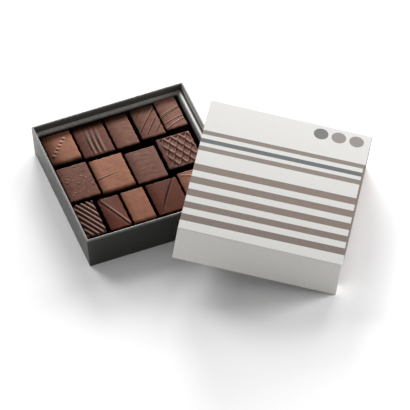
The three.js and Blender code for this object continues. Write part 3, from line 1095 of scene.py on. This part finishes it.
class PRALINEBOX_OT_base(bpy.types.Operator):
    """Build the anthracite base"""
    bl_idname = "pralinebox.base"
    bl_label = "Card base"

    def execute(self, context):
        look = settings("card")
        points, faces, rim, inside = card_box(
            BASE_WIDTH, BASE_DEPTH, BASE_HEIGHT, look.board / MM, look.rim_round / MM,
            look.corner / MM)
        points[:, :2] += BASE_MIDDLE[:2]
        made = make_object("anthracite_base", points, faces, base_paper())
        store(made, "edge", rim)
        store(made, "inside", inside)
        settle(made, "base_card", "base_tray")
        return {"FINISHED"}


class PRALINEBOX_OT_tray(bpy.types.Operator):
    """Build the card tray that holds the pralines"""
    bl_idname = "pralinebox.tray"
    bl_label = "Inner tray"

    def execute(self, context):
        look = settings("card")
        low, high = node_box("inner_tray")
        outer = (low[0], high[0], low[1], high[1])
        corner, card = look.tray_corner / MM, look.tray_card / MM
        top, foot = high[2], low[2]
        under = top - look.lip_drop / MM
        floor = look.floor_height / MM

        def across(share, extra=0.0):
            """The tray's outline at a share of its lip's width, and a little further in."""
            return outline(shrink(outer, [wide * share + extra for wide in LIP.values()]), corner)

        rings = [
            (across(1, -card), floor - card), (across(1, -card), under),
            (across(0, card), under), (across(0, card), foot), (across(0), foot),
        ]
        rings += [(across(share), top - drop) for share, drop in LIP_SECTION]
        rings += [(across(1), z) for z in (top - 5, floor + 1.0, floor)]
        points, faces = loft(rings)
        made = make_object("card_inner_tray", points, faces, tray_card())

        drop = top - points[:, 2]
        from_right, from_back = high[0] - points[:, 0], high[1] - points[:, 1]
        # Where the right lip's crest gets its painted highlight
        crest = smoothstep(*CREST_INNER, from_right) * smoothstep(*CREST_OUTER, from_right)
        store(made, "glint", crest * smoothstep(*CREST_BACK, from_back) * (drop < CREST_DEPTH))
        # The right wall below the lip, where painted light makes it paler
        on_right = np.isclose(from_right, LIP["right"], atol=0.1)
        store(made, "right", on_right & (drop > WALL_DEPTH))
        settle(made, "inner_card", "inner_tray")
        return {"FINISHED"}


class PRALINEBOX_OT_pralines(bpy.types.Operator):
    """Build the fourteen pralines"""
    bl_idname = "pralinebox.pralines"
    bl_label = "Pralines"

    def execute(self, context):
        relief, ripple = relief_tree(), ripple_tree()
        for index, praline in enumerate(PRALINES):
            build_praline(index, praline, relief, ripple)
        return {"FINISHED"}


class PRALINEBOX_OT_lid(bpy.types.Operator):
    """Build the striped lid, leaning on the base's front right corner"""
    bl_idname = "pralinebox.lid"
    bl_label = "Striped lid"

    def execute(self, context):
        look, card = settings("lid"), settings("card")
        points, faces, _, _ = card_box(
            look.width / MM, look.depth / MM, look.height / MM, look.board / MM,
            card.rim_round / MM, card.corner / MM)
        own = points * (1, -1, -1) + (0, 0, look.height / MM)
        turn = Matrix.Rotation(look.yaw, 3, "Z") @ Matrix.Rotation(look.lean, 3, "Y")
        points = own @ np.array(turn).T
        low, high = node_box("lid")
        points *= np.min((high - low) / (points.max(0) - points.min(0)))
        points += (low + high) / 2 - (points.min(0) + points.max(0)) / 2
        made = make_object("striped_lid", points, faces, lid_paper())
        store(made, "place", own)
        settle(made, "lid_card", "lid")
        return {"FINISHED"}


# Each light's heading and height in degrees
LIGHTS = {"key": (76, 20), "rear": (115, 36), "slant": (45, 35), "side": (-10, 20)}
FLOOR_REACH = 30000.0

# The camera's place, in millimetres from the middle of the base's foot, and its axes
CAMERA_PLACE = (-1012.7, -4123.1, 4118.4)
CAMERA_AHEAD = (0.17907, 0.69244, -0.6989)
CAMERA_ACROSS = (0.94144, -0.32689, -0.08266)
SENSOR_WIDTH = 36.0


def area_light(name, heading, height, watts, distance=1.7, size=0.7):
    """A round soft light aimed at the origin. heading and height are angles in degrees."""
    heading, height = math.radians(heading), math.radians(height)
    away = Vector((
        math.cos(height) * math.cos(heading), math.cos(height) * math.sin(heading),
        math.sin(height)))
    data = bpy.data.lights.new(name, "AREA")
    data.shape = "DISK"
    data.size = size
    data.energy = watts
    light = add_object(name, data)
    light.location = away * distance
    light.rotation_euler = (-away).to_track_quat("-Z", "Y").to_euler()


class PRALINEBOX_OT_stage(bpy.types.Operator):
    """Set up the floor, the lights and the camera"""
    bl_idname = "pralinebox.stage"
    bl_label = "Stage"

    def execute(self, context):
        look = settings("stage")
        corners = [(-1, -1, 0), (1, -1, 0), (1, 1, 0), (-1, 1, 0)]
        floor = make_object(
            "floor", np.array(corners) * FLOOR_REACH, [(0, 1, 2, 3)], floor_paint())

        world = bpy.data.worlds.new("studio")
        world.use_nodes = True
        sky = world.node_tree.nodes["Background"]
        sky.inputs["Color"].default_value = (1.0, 1.0, 1.0, 1.0)
        sky.inputs["Strength"].default_value = look.sky
        context.scene.world = world
        context.scene.view_settings.view_transform = "Standard"

        for name, (heading, height) in LIGHTS.items():
            area_light(name, heading, height, getattr(look, name))

        place = np.array(CAMERA_PLACE) + (*BASE_MIDDLE[:2], 0.0)
        ahead = Vector(CAMERA_AHEAD).normalized()
        across = Vector(CAMERA_ACROSS).normalized()
        above = across.cross(ahead).normalized()
        turn = Matrix((across, above, -ahead)).transposed()
        camera = add_object("camera", bpy.data.cameras.new("camera"))
        camera.data.sensor_width = SENSOR_WIDTH
        camera.data.lens = look.focal
        camera.data.clip_end = 100.0
        camera.matrix_world = Matrix.Translation(Vector(place) * MM) @ turn.to_4x4()
        context.scene.camera = camera
        return {"FINISHED"}


class PRALINEBOX_PT_panel(bpy.types.Panel):
    """Lists the pieces and their settings"""
    bl_idname = "PRALINEBOX_PT_panel"
    bl_label = "Praline box"
    bl_space_type = "VIEW_3D"
    bl_region_type = "UI"
    bl_category = "Pralines"

    def draw(self, context):
        for operator in OPERATORS:
            self.layout.operator(operator.bl_idname)
        for name, group in GROUPS.items():
            box = self.layout.box()
            box.label(text=name.title())
            for field in group.__annotations__:
                box.prop(settings(name), field)


GROUPS = {
    "card": PralineBoxCard,
    "chocolate": PralineBoxChocolate,
    "lid": PralineBoxLid,
    "stage": PralineBoxStage,
}
OPERATORS = (
    PRALINEBOX_OT_base, PRALINEBOX_OT_tray, PRALINEBOX_OT_pralines, PRALINEBOX_OT_lid,
    PRALINEBOX_OT_stage,
)


def register():
    for made in (*GROUPS.values(), *OPERATORS, PRALINEBOX_PT_panel):
        bpy.utils.register_class(made)
    for name, group in GROUPS.items():
        setattr(bpy.types.Scene, "praline_box_" + name, bpy.props.PointerProperty(type=group))


def unregister():
    for name in GROUPS:
        delattr(bpy.types.Scene, "praline_box_" + name)
    for made in (PRALINEBOX_PT_panel, *reversed(OPERATORS), *GROUPS.values()):
        bpy.utils.unregister_class(made)


def main():
    register()
    bpy.ops.pralinebox.base()
    bpy.ops.pralinebox.tray()
    bpy.ops.pralinebox.pralines()
    bpy.ops.pralinebox.lid()
    bpy.ops.pralinebox.stage()


if __name__ == "__main__":
    main()
